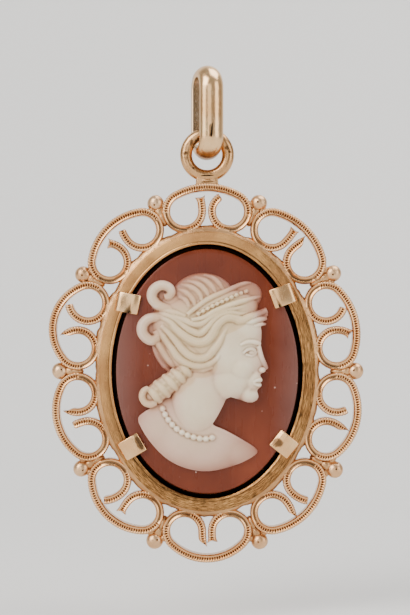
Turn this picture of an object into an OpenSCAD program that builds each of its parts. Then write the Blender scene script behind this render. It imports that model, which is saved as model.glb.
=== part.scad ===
// Cameo pendant: an oval carved shell in a pierced gold frame, hung from an oval bail.
// Millimetres. +Z is up, the carved face looks along -Y, and the origin is the top of the
// bail's inside, where the chain bears.

/* [Stone] */
// Width of the oval shell
stone_w = 13.2; // [11:0.1:16]
// Height of the oval shell
stone_h = 17.8; // [15:0.1:22]
// Thickness of the brown ground at its crown
ground_t = 2.1; // [1.8:0.05:2.8]
// Radius of the ground's domed face
dome_r = 51; // [45:1:90]
// How far the crown of the ground stands in front of the frame's middle plane
crown_front = 1.45; // [1.25:0.05:1.7]

/* [Figure] */
// Height of the carved figure, from the top of the hair to the hem of the bust
figure_h = 14.4; // [12:0.1:15]
// Highest relief of the carving above the ground
relief_h = 1.25; // [0.9:0.05:1.6]
// Bare ground kept between the carving and the edge of the shell
figure_margin = 0.45; // [0.3:0.05:0.8]
// Parting gap between the carving and the ground and claws
figure_gap = 0.03; // [0.02:0.01:0.05]
// Diameter of a bead in the necklace
necklace_bead_d = 0.5; // [0.4:0.05:0.65]
// Number of beads in the necklace
necklace_bead_n = 10; // [7:1:13]

/* [Rim] */
// Gap all round between the shell and the rim's opening
stone_gap = 0.3; // [0.2:0.05:0.45]
// Width of the rim's flat top
rim_w = 0.97; // [0.8:0.05:1.4]
// How far the rim's top stands in front of the middle plane
rim_front = 0.85; // [0.7:0.05:1]
// How far the rim's back stands behind the middle plane
rim_back = 1.2; // [1.1:0.05:1.6]
// How far the ledge under the shell reaches in from the opening
ledge_w = 1.1; // [0.8:0.05:1.6]
// Clearance between the shell's back and its ledge
ledge_gap = 0.03; // [0.02:0.01:0.06]

/* [Claws] */
// Width of a claw
claw_w = 1.3; // [1:0.05:1.6]
// Thickness of a claw
claw_t = 0.42; // [0.35:0.01:0.6]
// How far a claw reaches over the opening
claw_overlap = 0.9; // [0.7:0.05:1.3]
// How much of the rim's width a claw stands on
claw_foot = 0.45; // [0.35:0.05:0.7]
// Radius of the bend at the top of a claw
claw_bend = 0.2; // [0.1:0.05:0.3]
// Clearance between a claw and the shell
claw_gap = 0.03; // [0.02:0.01:0.06]
// Place of each claw round the oval, up or down from its widest point
claw_angle = 35; // [28:1:44]

/* [Filigree] */
// Number of scallops round the rim
scallop_n = 10; // [9:1:12]
// Width of the wire seen from the front
wire_w = 0.58; // [0.45:0.01:0.75]
// Depth of the wire from front to back
wire_depth = 1.1; // [0.9:0.05:1.4]
// Space between the loops of two neighbouring scallops
loop_play = 0.17; // [0.1:0.01:0.25]
// Space between the loops and the rim
rim_play = 0.06; // [0.02:0.01:0.12]
// How far the middle of an arch swells beyond its two loops
arch_bulge = 0.44; // [0.3:0.02:0.7]
// How far a wire end runs outwards past the middle of its loop
tip_run = 1.0; // [0.7:0.05:1.2]
// Turn of a wire end, away from its neighbour
tip_lean = 30; // [15:1:45]
// Radius of a solder web
web_r = 0.4; // [0.34:0.01:0.5]
// Depth of a solder web from front to back
web_depth = 0.8; // [0.6:0.05:0.85]

/* [Granules] */
// Diameter of the balls between the scallops
ball_d = 1.24; // [1:0.02:1.5]
// Depth that a ball is soldered into each of its two loops
ball_bite = 0.07; // [0.05:0.01:0.12]

/* [Hanging ring] */
// Inner diameter of the ring
ring_hole_d = 2.18; // [2.1:0.02:2.6]
// Diameter of the ring's round wire
ring_wire_d = 0.88; // [0.7:0.02:0.9]
// Width of the neck that carries the ring
neck_w = 1.7; // [1.2:0.05:2.2]
// Depth of the neck from front to back
neck_depth = 0.7; // [0.6:0.05:0.8]
// Height of the neck between the top arch and the ring
neck_h = 0.12; // [0.06:0.02:0.4]

/* [Bail] */
// Width of the bail's band
bail_w = 1.7; // [1.3:0.05:1.75]
// Thickness of the band at the crown of its rounded face
bail_t = 0.85; // [0.65:0.05:1]
// Thickness of the band at its edges
bail_edge_t = 0.36; // [0.25:0.02:0.5]
// Space between the bail's front and rear arms
bail_gap = 1.9; // [1.85:0.05:2.3]
// Outer height of the bail
bail_h = 6.9; // [6:0.1:9]
// Turn of the bail about its own height
bail_turn = 16; // [0:1:18]
// Clearance between the bail and the hanging ring
bail_play = 0.03; // [0.02:0.01:0.06]

/* [Hidden] */
gold = [0.85, 0.64, 0.44];
shell_brown = [0.5, 0.27, 0.2];
shell_white = [0.9, 0.86, 0.79];
oval_steps = 96;
bend_steps = 6;
// Depth of a claw's foot in the rim
lap = 0.3;
// How far a cut runs past what it cuts
spare = 1;
// Share of the relief by which the carved forms start below the ground's crown
figure_sink = 0.2;

// The oval: points and outward normals at angle t, moved out by d
function oval_normal(t) =
    let (v = [stone_h * cos(t), stone_w * sin(t)]) v / norm(v);
function oval_point(t, d) =
    [stone_w / 2 * cos(t), stone_h / 2 * sin(t)] + d * oval_normal(t);
function oval_outline(d) = [for (i = [0 : oval_steps - 1]) oval_point(360 * i / oval_steps, d)];
function outline_length(pts) =
    [for (i = [0 : len(pts) - 1]) norm(pts[(i + 1) % len(pts)] - pts[i])]
    * [for (i = [0 : len(pts) - 1]) 1];

// The loops: their outer radius, so that they stand side by side all round the rim
rim_outer = stone_gap + rim_w;
loop_pitch_at_rim = outline_length(oval_outline(rim_outer + rim_play)) / (2 * scallop_n);
loop_outer_r = (loop_pitch_at_rim / 2 - loop_play / 2) / (1 - PI / (2 * scallop_n));
loop_r = loop_outer_r - wire_w / 2;
loop_line = rim_outer + rim_play + loop_outer_r;

// Distance run clockwise from the top along the line of loop centres, against the oval's angle
run_steps = 180;
function run_angle(i) = 90 - 360 * i / run_steps;
run_table = [for (i = 0, s = 0; i <= run_steps;
    s = s + norm(oval_point(run_angle(i + 1), loop_line) - oval_point(run_angle(i), loop_line)),
    i = i + 1) [s, run_angle(i)]];
loop_n = 2 * scallop_n;
loop_pitch = run_table[run_steps][0] / loop_n;
function loop_angle(j) = lookup(loop_pitch * (((j + loop_n) % loop_n) + 0.5), run_table);
function loop_centre(j) = oval_point(loop_angle(j), loop_line);

// The arch of scallop k, in the frame of its two loops
function scallop_left(k) = loop_centre(2 * k - 1);
function scallop_right(k) = loop_centre(2 * k);
function scallop_half(k) = norm(scallop_right(k) - scallop_left(k)) / 2;
function arch_drop(h) = (h * h - arch_bulge * arch_bulge) / (2 * arch_bulge);
function arch_r(h) = loop_r + arch_bulge + arch_drop(h);
function arch_half_angle(h) = atan2(h, arch_drop(h));

// The hanging ring and the bail
ring_hole_r = ring_hole_d / 2;
ring_wire_r = ring_wire_d / 2;
ring_line_r = ring_hole_r + ring_wire_r;
arch_top = scallop_left(0)[1] + loop_outer_r + arch_bulge;
ring_up = arch_top + neck_h + ring_line_r + ring_wire_r;
bail_inner_r = bail_gap / 2;
bail_straight = bail_h - bail_gap - 2 * bail_t;
// Height over the ring's centre at which an edge point of the bail's bottom bend meets the ring
function edge_rise(a) = let (
    along = bail_inner_r * sin(a),
    x = bail_w / 2 * cos(bail_turn) - along * sin(bail_turn),
    y = bail_w / 2 * sin(bail_turn) + along * cos(bail_turn),
    wire = ring_wire_r + bail_play,
    reach = ring_line_r - sqrt(max(0, wire * wire - y * y)))
    abs(y) > wire ? ring_hole_r : sqrt(max(0, reach * reach - x * x)) - bail_inner_r * (1 - cos(a));
bail_rise = min([for (a = [-60 : 2 : 60]) edge_rise(a)]);
ring_z = -(bail_h - 2 * bail_t) - bail_rise;
stone_z = ring_z - ring_up;

// Front of the shell at distance r from its middle, as a distance in front of the middle plane
function shell_front(r) = crown_front - dome_r + sqrt(dome_r * dome_r - r * r);
shell_back = crown_front - ground_t;

// Local frame of the face: x to the right, y up, z out of the front
module face_frame() {
    translate([0, 0, stone_z]) rotate([90, 0, 0]) children();
}

module plate(pts, low, high) {
    translate([0, 0, low]) linear_extrude(height = high - low) polygon(pts);
}

module oval_ring(inner, outer, low, high) {
    difference() {
        plate(oval_outline(outer), low, high);
        plate(oval_outline(inner), low - spare, high + spare);
    }
}

// Rim with the ledge that the shell rests on
module rim() {
    ledge_front = shell_back - ledge_gap;
    oval_ring(stone_gap, rim_outer, -rim_back, rim_front);
    oval_ring(stone_gap - ledge_w, stone_gap + rim_w / 2, -rim_back, ledge_front);
}

// Bent claw at angle t: its side profile, extruded over the claw's width
module claw(t, grow = 0) {
    edge = oval_point(t, stone_gap);
    inward = -oval_normal(t);
    tip = edge + claw_overlap * inward;
    tip_low = shell_front(norm(tip)) + claw_gap;
    edge_low = shell_front(norm(edge)) + claw_gap;
    slope = (tip_low - edge_low) / claw_overlap;
    bend_low = edge_low - slope * claw_foot;
    foot = rim_front - lap;
    profile = concat(
        [[-claw_foot - grow, foot], [-claw_foot - grow, bend_low + claw_t - claw_bend]],
        [for (i = [1 : bend_steps]) let (a = 180 - 90 * i / bend_steps)
            [-claw_foot + claw_bend * (1 + cos(a)) - grow,
             bend_low + claw_t - claw_bend * (1 - sin(a)) + grow]],
        [[claw_overlap + grow, tip_low + claw_t + grow], [claw_overlap + grow, tip_low - grow],
         [0, edge_low - grow], [0, foot]]);
    translate([edge[0], edge[1], 0]) rotate([0, 0, atan2(inward[1], inward[0])])
        rotate([90, 0, 0]) linear_extrude(height = claw_w + 2 * grow, center = true) polygon(profile);
}

module claws(grow = 0) {
    for (t = [claw_angle, 180 - claw_angle, 180 + claw_angle, 360 - claw_angle]) claw(t, grow);
}

// Half of a scallop's wire, from its free end round the loop to the top of the arch, as rows
// of [x, y, direction]
loop_steps = 24;
arch_steps = 6;
tip_steps = 3;
function half_wire(h) = let (
    end_r = tip_run / sin(tip_lean),
    half_arch = arch_half_angle(h),
    sweep = 270 - half_arch)
    concat(
        [for (i = [0 : tip_steps - 1]) let (a = tip_lean * (1 - i / tip_steps))
            [h - loop_r + end_r * (1 - cos(a)), end_r * sin(a), 270 - a]],
        [for (i = [0 : loop_steps]) let (a = 180 + sweep * i / loop_steps)
            [h + loop_r * cos(a), loop_r * sin(a), a + 90]],
        [for (i = [1 : arch_steps]) let (a = 90 - half_arch * (1 - i / arch_steps))
            [arch_r(h) * cos(a), arch_r(h) * sin(a) - arch_drop(h), a + 90]]);
function whole_wire(rows) = concat(rows,
    [for (i = [len(rows) - 2 : -1 : 0]) [-rows[i][0], rows[i][1], -rows[i][2]]]);
function beside(row, d) = [row[0] + d * sin(row[2]), row[1] - d * cos(row[2])];
function wire_outline(h) = let (rows = whole_wire(half_wire(h)))
    concat([for (r = rows) beside(r, wire_w / 2)],
        [for (i = [len(rows) - 1 : -1 : 0]) beside(rows[i], -wire_w / 2)]);

module scallop(k) {
    left = scallop_left(k);
    right = scallop_right(k);
    middle = (left + right) / 2;
    across = right - left;
    translate([middle[0], middle[1], 0]) rotate([0, 0, atan2(across[1], across[0])])
        plate(wire_outline(scallop_half(k)), -wire_depth / 2, wire_depth / 2);
}

module web(p) {
    translate([p[0], p[1], 0]) cylinder(h = web_depth, r = web_r, center = true, $fn = 32);
}

// Solder between every loop and the rim, and between the loops of neighbouring scallops
module webs() {
    for (j = [0 : loop_n - 1]) web(oval_point(loop_angle(j), rim_outer + rim_play / 2));
    for (k = [0 : scallop_n - 1]) web((scallop_right(k) + scallop_left(k + 1)) / 2);
}

// Ball nestled in the notch between two neighbouring loops
module granule(k) {
    left = scallop_right(k);
    right = scallop_left(k + 1);
    across = right - left;
    reach = loop_outer_r + ball_d / 2 - ball_bite;
    rise = sqrt(max(0, reach * reach - across * across / 4));
    out = [-across[1], across[0]] / norm(across);
    p = (left + right) / 2 + rise * out;
    translate([p[0], p[1], 0]) rotate([0, 0, atan2(out[1], out[0])]) rotate([0, 90, 0])
        sphere(d = ball_d, $fn = 48);
}

module hanging_ring() {
    translate([0, ring_up, 0]) rotate_extrude($fn = 96)
        translate([ring_line_r, 0]) circle(r = ring_wire_r, $fn = 48);
    neck_low = arch_top - wire_w / 2;
    neck_high = ring_up - ring_line_r;
    translate([-neck_w / 2, neck_low, -neck_depth / 2])
        cube([neck_w, neck_high - neck_low, neck_depth]);
}

module frame() {
    color(gold) face_frame() {
        rim();
        claws();
        for (k = [0 : scallop_n - 1]) scallop(k);
        webs();
        for (k = [0 : scallop_n - 1]) granule(k);
        hanging_ring();
    }
}

module cameo_ground() {
    color(shell_brown) face_frame() intersection() {
        plate(oval_outline(0), shell_back, crown_front + spare);
        translate([0, 0, crown_front - dome_r]) sphere(r = dome_r, $fn = 180);
    }
}

bail_face_steps = 12;
// Half-round section of the bail's band: distance from the bend's axis against width
function bail_section() = let (
    swell = bail_t - bail_edge_t,
    face_r = (bail_w * bail_w / 4 + swell * swell) / (2 * swell),
    half = asin(bail_w / 2 / face_r),
    crown = bail_inner_r + bail_t)
    concat([[bail_inner_r, bail_w / 2], [bail_inner_r, -bail_w / 2]],
        [for (i = [0 : bail_face_steps]) let (a = -half + 2 * half * i / bail_face_steps)
            [crown - face_r * (1 - cos(a)), face_r * sin(a)]]);

module bail_bend() {
    rotate_extrude(angle = 180, $fn = 96) polygon(bail_section());
}

module bail_arm() {
    rotate([90, 0, 0]) linear_extrude(height = bail_straight) polygon(bail_section());
}

module bail() {
    color(gold) rotate([0, 0, bail_turn]) translate([0, 0, -bail_inner_r]) rotate([90, 0, 90]) {
        bail_bend();
        bail_arm();
        rotate([0, 180, 0]) bail_arm();
        translate([0, -bail_straight, 0]) rotate([0, 0, 180]) bail_bend();
    }
}

// Carved figure. Its tables hold shares of the figure's height, from the middle of the shell,
// and shares of the highest relief.
module pad(x, y, half_w, half_h, rise, tilt = 0) {
    translate([x * figure_h, y * figure_h, 0]) rotate([0, 0, tilt])
        scale([half_w * figure_h, half_h * figure_h, rise * relief_h]) sphere(r = 1, $fn = 20);
}

module strand(rows) {
    for (i = [0 : len(rows) - 2]) hull() for (r = [rows[i], rows[i + 1]])
        translate([r[0] * figure_h, r[1] * figure_h, r[3] * relief_h])
            sphere(r = r[2] * figure_h, $fn = 10);
}

// Rows of [x, y, radius, height] along each lock, from the forehead back to the curls
lock_crown = [[0.24, 0.41, 0.024, 0.5], [0.16, 0.39, 0.03, 0.66], [0.07, 0.35, 0.032, 0.74],
    [-0.01, 0.285, 0.032, 0.7], [-0.08, 0.26, 0.03, 0.6], [-0.15, 0.3, 0.026, 0.5]];
lock_diadem = [[0.26, 0.365, 0.026, 0.5], [0.165, 0.34, 0.032, 0.7], [0.075, 0.305, 0.034, 0.76],
    [0.0, 0.235, 0.034, 0.72], [-0.06, 0.205, 0.034, 0.64], [-0.13, 0.245, 0.03, 0.52],
    [-0.19, 0.3, 0.026, 0.42]];
lock_forehead = [[0.285, 0.315, 0.024, 0.42], [0.2, 0.295, 0.03, 0.66], [0.115, 0.275, 0.034, 0.8],
    [0.05, 0.22, 0.036, 0.8], [0.01, 0.165, 0.036, 0.74], [-0.045, 0.145, 0.036, 0.66],
    [-0.11, 0.18, 0.032, 0.55], [-0.22, 0.26, 0.03, 0.4]];
lock_temple = [[0.29, 0.24, 0.022, 0.4], [0.205, 0.245, 0.026, 0.6], [0.13, 0.225, 0.032, 0.76],
    [0.085, 0.165, 0.034, 0.78], [0.05, 0.105, 0.034, 0.72], [-0.01, 0.075, 0.036, 0.64],
    [-0.09, 0.1, 0.034, 0.54], [-0.235, 0.18, 0.03, 0.4]];
lock_nape = [[0.045, 0.06, 0.03, 0.62], [-0.03, 0.025, 0.034, 0.56], [-0.11, 0.045, 0.034, 0.48],
    [-0.19, 0.105, 0.032, 0.4], [-0.26, 0.155, 0.03, 0.34]];
lock_tail = [[-0.06, 0.01, 0.034, 0.46], [-0.15, -0.03, 0.036, 0.46], [-0.23, -0.076, 0.04, 0.42],
    [-0.29, -0.115, 0.042, 0.36]];

module hair() {
    for (rows = [lock_crown, lock_diadem, lock_forehead, lock_temple, lock_nape, lock_tail])
        strand(rows);
    pad(0.02, 0.37, 0.19, 0.125, 0.56, 8);
    pad(-0.1, 0.2, 0.18, 0.15, 0.46, -20);
    pad(-0.197, 0.374, 0.078, 0.075, 0.5);
    pad(-0.285, 0.215, 0.074, 0.078, 0.45);
}

// Head of plain, evenly divided proportions, turned to the right
module head() {
    pad(0.04, 0.19, 0.23, 0.23, 0.7);
    pad(0.14, 0.1, 0.13, 0.2, 0.7);
    hull() {
        pad(0.10, 0.0, 0.12, 0.1, 0.64);
        pad(0.19, -0.105, 0.04, 0.045, 0.48);
    }
    hull() {
        pad(0.25, 0.14, 0.02, 0.03, 0.48);
        pad(0.28, 0.045, 0.022, 0.018, 0.4);
        pad(0.24, 0.035, 0.02, 0.018, 0.48);
    }
    pad(0.243, -0.012, 0.026, 0.016, 0.44);
    pad(0.236, -0.045, 0.024, 0.018, 0.44);
}

// Outline of the shoulders as [x, y], from the left tip over the neck to the right tip and back
bust_outline = [[-0.354, -0.232], [-0.263, -0.172], [-0.15, -0.13], [0.08, -0.17],
    [0.025, -0.268], [0.141, -0.318], [0.25, -0.385], [0.25, -0.41], [0.182, -0.455],
    [0.09, -0.49], [-0.01, -0.5], [-0.11, -0.483], [-0.2, -0.44], [-0.288, -0.348]];

module bust() {
    hull() {
        pad(0.03, -0.02, 0.1, 0.08, 0.55);
        pad(-0.07, -0.26, 0.11, 0.08, 0.42);
    }
    intersection() {
        pad(-0.06, -0.28, 0.36, 0.3, 0.5, -24);
        linear_extrude(height = relief_h) polygon(bust_outline * figure_h);
    }
}

// String of beads round the foot of the neck
module necklace() {
    for (i = [0 : necklace_bead_n - 1]) let (a = 205 + 62 * i / (necklace_bead_n - 1))
        translate([(0.03 + 0.27 * cos(a)) * figure_h, (-0.08 + 0.26 * sin(a)) * figure_h, 0.44 * relief_h])
            sphere(d = necklace_bead_d, $fn = 10);
}

module cameo_figure() {
    color(shell_white) face_frame() difference() {
        intersection() {
            translate([0, 0, crown_front - figure_sink * relief_h]) {
                head();
                hair();
                bust();
                necklace();
            }
            plate(oval_outline(-figure_margin), 0, crown_front + relief_h + spare);
        }
        translate([0, 0, crown_front - dome_r]) sphere(r = dome_r + figure_gap, $fn = 180);
        claws(figure_gap);
    }
}

frame();
cameo_ground();
cameo_figure();
bail();
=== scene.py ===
from math import acos, atan2, cos, exp, hypot, pi, radians, sin, sqrt
from random import Random

import bmesh
import bpy
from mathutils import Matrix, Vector, noise


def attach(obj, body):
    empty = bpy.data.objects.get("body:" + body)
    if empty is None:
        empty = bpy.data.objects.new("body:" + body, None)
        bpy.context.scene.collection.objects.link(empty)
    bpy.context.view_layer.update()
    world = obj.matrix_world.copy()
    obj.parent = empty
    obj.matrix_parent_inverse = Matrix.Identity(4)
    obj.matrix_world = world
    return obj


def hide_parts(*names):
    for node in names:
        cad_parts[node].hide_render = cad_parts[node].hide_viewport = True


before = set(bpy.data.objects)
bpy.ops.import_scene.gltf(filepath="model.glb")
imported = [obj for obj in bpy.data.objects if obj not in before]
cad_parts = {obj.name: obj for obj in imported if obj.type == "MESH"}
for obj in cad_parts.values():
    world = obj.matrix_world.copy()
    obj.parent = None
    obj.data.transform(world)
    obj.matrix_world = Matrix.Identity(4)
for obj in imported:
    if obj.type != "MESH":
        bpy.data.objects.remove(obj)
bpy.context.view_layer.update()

# Sizes in millimetres; each piece is modelled lying on its back and stood up at the end
MM = 0.001
STONE_W, STONE_H = 13.2, 17.8
DOME_R = 51.0
CROWN = 1.45
GROUND_BACK = -0.65
STONE_GAP = 0.3
RIM_W = 0.97
RIM_OUTER = STONE_GAP + RIM_W
RIM_FRONT, RIM_BACK = 0.85, -1.2
LEDGE_W, LEDGE_FRONT = 1.1, -0.68
SCALLOPS = 10
LOOPS = 2 * SCALLOPS
WIRE_W = 0.58
LOOP_PLAY, RIM_PLAY = 0.17, 0.06
ARCH_BULGE = 0.44
BALL_R, BALL_BITE = 0.62, 0.07
RING_HOLE_R, RING_WIRE_R = 1.09, 0.44
NECK_W, NECK_DEPTH, NECK_H = 1.7, 0.7, 0.12
BAIL_INNER_R, BAIL_W, BAIL_T, BAIL_EDGE_T, BAIL_H = 0.95, 1.7, 0.85, 0.36, 6.9
# The ring's middle hangs this far below the inside of the bail's lower bend
BAIL_RISE = 0.46139
CLAW_W, CLAW_T, CLAW_OVER, CLAW_FOOT, CLAW_GAP = 1.3, 0.42, 0.9, 0.45, 0.03
# Degrees by which the bail is turned about the upright
BAIL_TURN = 16


# Handling

def take(*pieces):
    """Select these pieces, the first of them active."""
    bpy.ops.object.select_all(action="DESELECT")
    for piece in pieces:
        piece.select_set(True)
    bpy.context.view_layer.objects.active = pieces[0]


def pick(test, kind="VERT"):
    """Select, in the piece that is being edited, what passes the test."""
    bpy.ops.mesh.select_mode(type=kind)
    bpy.ops.mesh.select_all(action="DESELECT")
    mesh = bmesh.from_edit_mesh(bpy.context.object.data)
    for part in {"VERT": mesh.verts, "EDGE": mesh.edges, "FACE": mesh.faces}[kind]:
        if test(part):
            part.select_set(True)
    mesh.select_flush_mode()
    bmesh.update_edit_mesh(bpy.context.object.data)


def edit(piece, test=None, kind="VERT"):
    take(piece)
    bpy.ops.object.mode_set(mode="EDIT")
    if test:
        pick(test, kind)
    else:
        bpy.ops.mesh.select_all(action="SELECT")


def done(normals=False):
    if normals:
        bpy.ops.mesh.select_all(action="SELECT")
        bpy.ops.mesh.normals_make_consistent(inside=False)
    bpy.ops.object.mode_set(mode="OBJECT")
    return bpy.context.object


def pull(move):
    """Draw the selected edges out."""
    bpy.ops.mesh.extrude_edges_move(TRANSFORM_OT_translate={"value": move})


def worked(piece, kind, **settings):
    """Put a modifier on a piece and apply it."""
    take(piece)
    modifier = piece.modifiers.new(kind.title(), kind)
    for name, value in settings.items():
        setattr(modifier, name, value)
    bpy.ops.object.modifier_apply(modifier=modifier.name)
    return piece


def bevelled(piece, width, angle=50, segments=3):
    worked(piece, "BEVEL", width=width, segments=segments, limit_method="ANGLE", angle_limit=radians(angle))


def cut(piece, tool, operation="DIFFERENCE"):
    """Cut a piece with another, which is used up."""
    worked(piece, "BOOLEAN", object=tool, operation=operation, solver="EXACT")
    bpy.data.objects.remove(tool)


def settle(piece, place=(0, 0, 0), turn=(0, 0, 0), size=(1, 1, 1)):
    """Move, turn and size a piece, and put that into its mesh."""
    take(piece)
    piece.location, piece.rotation_euler, piece.scale = place, turn, size
    bpy.ops.object.transform_apply(location=True, rotation=True, scale=True)
    return piece


def copied(piece):
    take(piece)
    bpy.ops.object.duplicate()
    return bpy.context.object


def named(piece, name):
    piece.name = piece.data.name = name
    return piece


def joined(name, pieces):
    take(*pieces)
    bpy.ops.object.join()
    return named(bpy.context.object, name)


def welded(piece, distance):
    edit(piece)
    bpy.ops.mesh.remove_doubles(threshold=distance)
    return done(normals=True)


def smoothed(piece, angle=40):
    take(piece)
    bpy.ops.object.shade_smooth_by_angle(angle=radians(angle))
    return piece


def swell(x, y, wide, high, rise, tilt=0, low=0.0):
    """A rounded mass: its middle, half sizes, tilt and level."""
    bpy.ops.mesh.primitive_uv_sphere_add(segments=48, ring_count=24, radius=1)
    return settle(bpy.context.object, (x, y, low), (0, 0, radians(tilt)), (wide, high, rise))


def outlined(points):
    """A closed line through these points, started from a circle of as many points."""
    bpy.ops.mesh.primitive_circle_add(vertices=len(points), radius=1)
    line = bpy.context.object
    for vertex, point in zip(line.data.vertices, points):
        vertex.co = point
    return line


def rounded(points):
    """The same closed line with its corners cut and cut again."""
    for _ in range(2):
        pairs = list(zip(points, points[1:] + points[:1]))
        points = [(a[0] + (b[0] - a[0]) * u, a[1] + (b[1] - a[1]) * u)
                  for a, b in pairs for u in (0.25, 0.75)]
    return points


def slab(points, move):
    """A solid drawn out from a closed line."""
    edit(outlined(points))
    bpy.ops.mesh.edge_face_add()
    bpy.ops.mesh.extrude_region_move(TRANSFORM_OT_translate={"value": move})
    return done(normals=True)


def drawn(points, radii, depth=1.0):
    """A smooth strand through these knots, round and with a radius of its own at each."""
    bpy.ops.curve.primitive_bezier_curve_add()
    curve = bpy.context.object
    line = curve.data.splines[0]
    line.bezier_points.add(len(points) - 2)
    for knot, point, radius in zip(line.bezier_points, points, radii):
        knot.co, knot.radius = point, radius
        knot.handle_left_type = knot.handle_right_type = "AUTO"
    curve.data.resolution_u = 8
    curve.data.bevel_depth = depth
    curve.data.bevel_resolution = 3
    curve.data.use_fill_caps = True
    bpy.ops.object.convert(target="MESH")
    return bpy.context.object


def face_up(piece):
    """Stand a piece of the face up in the pendant's place, in metres."""
    return settle(piece, (0, 0, STONE_Z * MM), (pi / 2, 0, 0), (MM, MM, MM))


# Places: the oval and what stands round it

def ripple(x, y, scale, level):
    """Soft unevenness at a place, from -1 to 1."""
    return noise.noise(Vector((x * scale, y * scale, level)))


def tilted(x, y, middle, half, tilt):
    """A place as seen from a tilted oval, at whose edge its distance is 1."""
    c, s = cos(radians(tilt)), sin(radians(tilt))
    x, y = x - middle[0], y - middle[1]
    return (x * c + y * s) / half[0], (y * c - x * s) / half[1]


def oval_normal(t):
    return Vector((STONE_H * cos(t), STONE_W * sin(t))).normalized()


def oval_point(t, out):
    return Vector((STONE_W / 2 * cos(t), STONE_H / 2 * sin(t))) + out * oval_normal(t)


def oval_share(co, out):
    """How far from the middle a place lies: 1 on the oval that is moved out this much."""
    return hypot(co.x / (STONE_W / 2 + out), co.y / (STONE_H / 2 + out))


def run_round(out):
    """Distances run clockwise from the top along the oval moved out, with their angles."""
    steps = 720
    rows, run = [], 0.0
    last = oval_point(pi / 2, out)
    for i in range(steps + 1):
        t = pi / 2 - 2 * pi * i / steps
        point = oval_point(t, out)
        run += (point - last).length
        last = point
        rows.append((run, t))
    return rows


LOOP_OUTER = (run_round(RIM_OUTER + RIM_PLAY)[-1][0] / LOOPS / 2 - LOOP_PLAY / 2) / (1 - pi / LOOPS)
LOOP_R = LOOP_OUTER - WIRE_W / 2
LOOP_LINE = RIM_OUTER + RIM_PLAY + LOOP_OUTER
LOOP_RUN = run_round(LOOP_LINE)


def loop_angle(j):
    run = LOOP_RUN[-1][0] / LOOPS * ((j % LOOPS) + 0.5)
    for (a, t), (b, u) in zip(LOOP_RUN, LOOP_RUN[1:]):
        if b >= run:
            return t + (u - t) * (run - a) / (b - a)


def loop_centre(j):
    return oval_point(loop_angle(j), LOOP_LINE)


def granule_place(k):
    """The loops on both sides of a granule, its way out, and its middle."""
    left, right = loop_centre(2 * k), loop_centre(2 * k + 1)
    across = right - left
    reach = LOOP_OUTER + BALL_R - BALL_BITE
    rise = sqrt(reach * reach - across.length_squared / 4) + BALL_EXTRA[k]
    out = Vector((-across.y, across.x)).normalized()
    return left, right, out, (left + right) / 2 + rise * out


RING_LINE_R = RING_HOLE_R + RING_WIRE_R
ARCH_TOP = loop_centre(-1).y + LOOP_OUTER + ARCH_BULGE
RING_UP = ARCH_TOP + NECK_H + RING_LINE_R + RING_WIRE_R
STONE_Z = -(BAIL_H - 2 * BAIL_T) - BAIL_RISE - RING_UP


def dome(x, y):
    return CROWN - DOME_R + sqrt(DOME_R * DOME_R - x * x - y * y)


def hoop(rows, steps=192):
    """An oval ring: each row is the distance out from the stone's edge, and the height."""
    bpy.ops.mesh.primitive_circle_add(vertices=steps, radius=1)
    edit(bpy.context.object)
    wide, high, level = 1, 1, 0
    for i, (out, z) in enumerate(rows):
        if i:
            bpy.ops.mesh.extrude_edges_move()
        size = (STONE_W / 2 + out, STONE_H / 2 + out)
        bpy.ops.transform.resize(value=(size[0] / wide, size[1] / high, 1))
        bpy.ops.transform.translate(value=(0, 0, z - level))
        wide, high, level = size[0], size[1], z
    return welded(done(), 0.001)


# Finishes

class Finish:
    """A material in the making, with short ways to add nodes and link them."""

    def __init__(self, name):
        self.look = bpy.data.materials.new(name)
        self.look.use_nodes = True
        self.tree = self.look.node_tree

    def feed(self, sockets, inputs):
        """Link sockets to other nodes, or set them."""
        for key, value in inputs.items():
            if isinstance(value, bpy.types.NodeSocket):
                self.tree.links.new(value, sockets[key])
            else:
                sockets[key].default_value = value

    def shader(self, **inputs):
        sockets = self.tree.nodes["Principled BSDF"].inputs
        self.feed(sockets, {key.replace("_", " "): value for key, value in inputs.items()})

    def node(self, kind, output, inputs, **settings):
        made = self.tree.nodes.new("ShaderNode" + kind)
        for key, value in settings.items():
            setattr(made, key, value)
        self.feed(made.inputs, inputs)
        return made.outputs[output]

    def place(self):
        return self.node("TexCoord", "Object", {})

    def mark(self, name):
        return self.node("Attribute", "Fac", {}, attribute_name=name)

    def axis(self, place, name):
        return self.node("SeparateXYZ", name, {"Vector": place})

    def stretched(self, place, up, turn=0.0):
        return self.node("Mapping", "Vector", {
            "Vector": place, "Rotation": (0.0, radians(turn), 0.0), "Scale": (1.0, 1.0, up)})

    def noise(self, place, scale, detail=2.0, rough=0.5):
        return self.node("TexNoise", "Fac", {
            "Vector": place, "Scale": scale, "Detail": detail, "Roughness": rough})

    def cells(self, place, scale):
        return self.node("TexVoronoi", "Distance", {"Vector": place, "Scale": scale})

    def maths(self, operation, *values):
        return self.node("Math", 0, dict(enumerate(values)), operation=operation)

    def mapped(self, value, low, high, to_low, to_high):
        return self.node("MapRange", "Result", {0: value, 1: low, 2: high, 3: to_low, 4: to_high})

    def mixed(self, amount, under, over, blend="MULTIPLY"):
        return self.node("Mix", 2, {0: amount, 6: under, 7: over}, data_type="RGBA", blend_type=blend)

    def bump(self, height, strength, distance, **below):
        return self.node("Bump", 0, {"Strength": strength, "Distance": distance, "Height": height, **below})

    def ramp(self, source, stops):
        made = self.tree.nodes.new("ShaderNodeValToRGB")
        self.feed(made.inputs, {"Fac": source})
        band = made.color_ramp
        while len(band.elements) < len(stops):
            band.elements.new(0.5)
        for element, (place, colour) in zip(band.elements, stops):
            element.position = place
            element.color = (*colour, 1)
        return made.outputs["Color"]


BLACK, WHITE = (0, 0, 0), (1, 1, 1)
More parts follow.
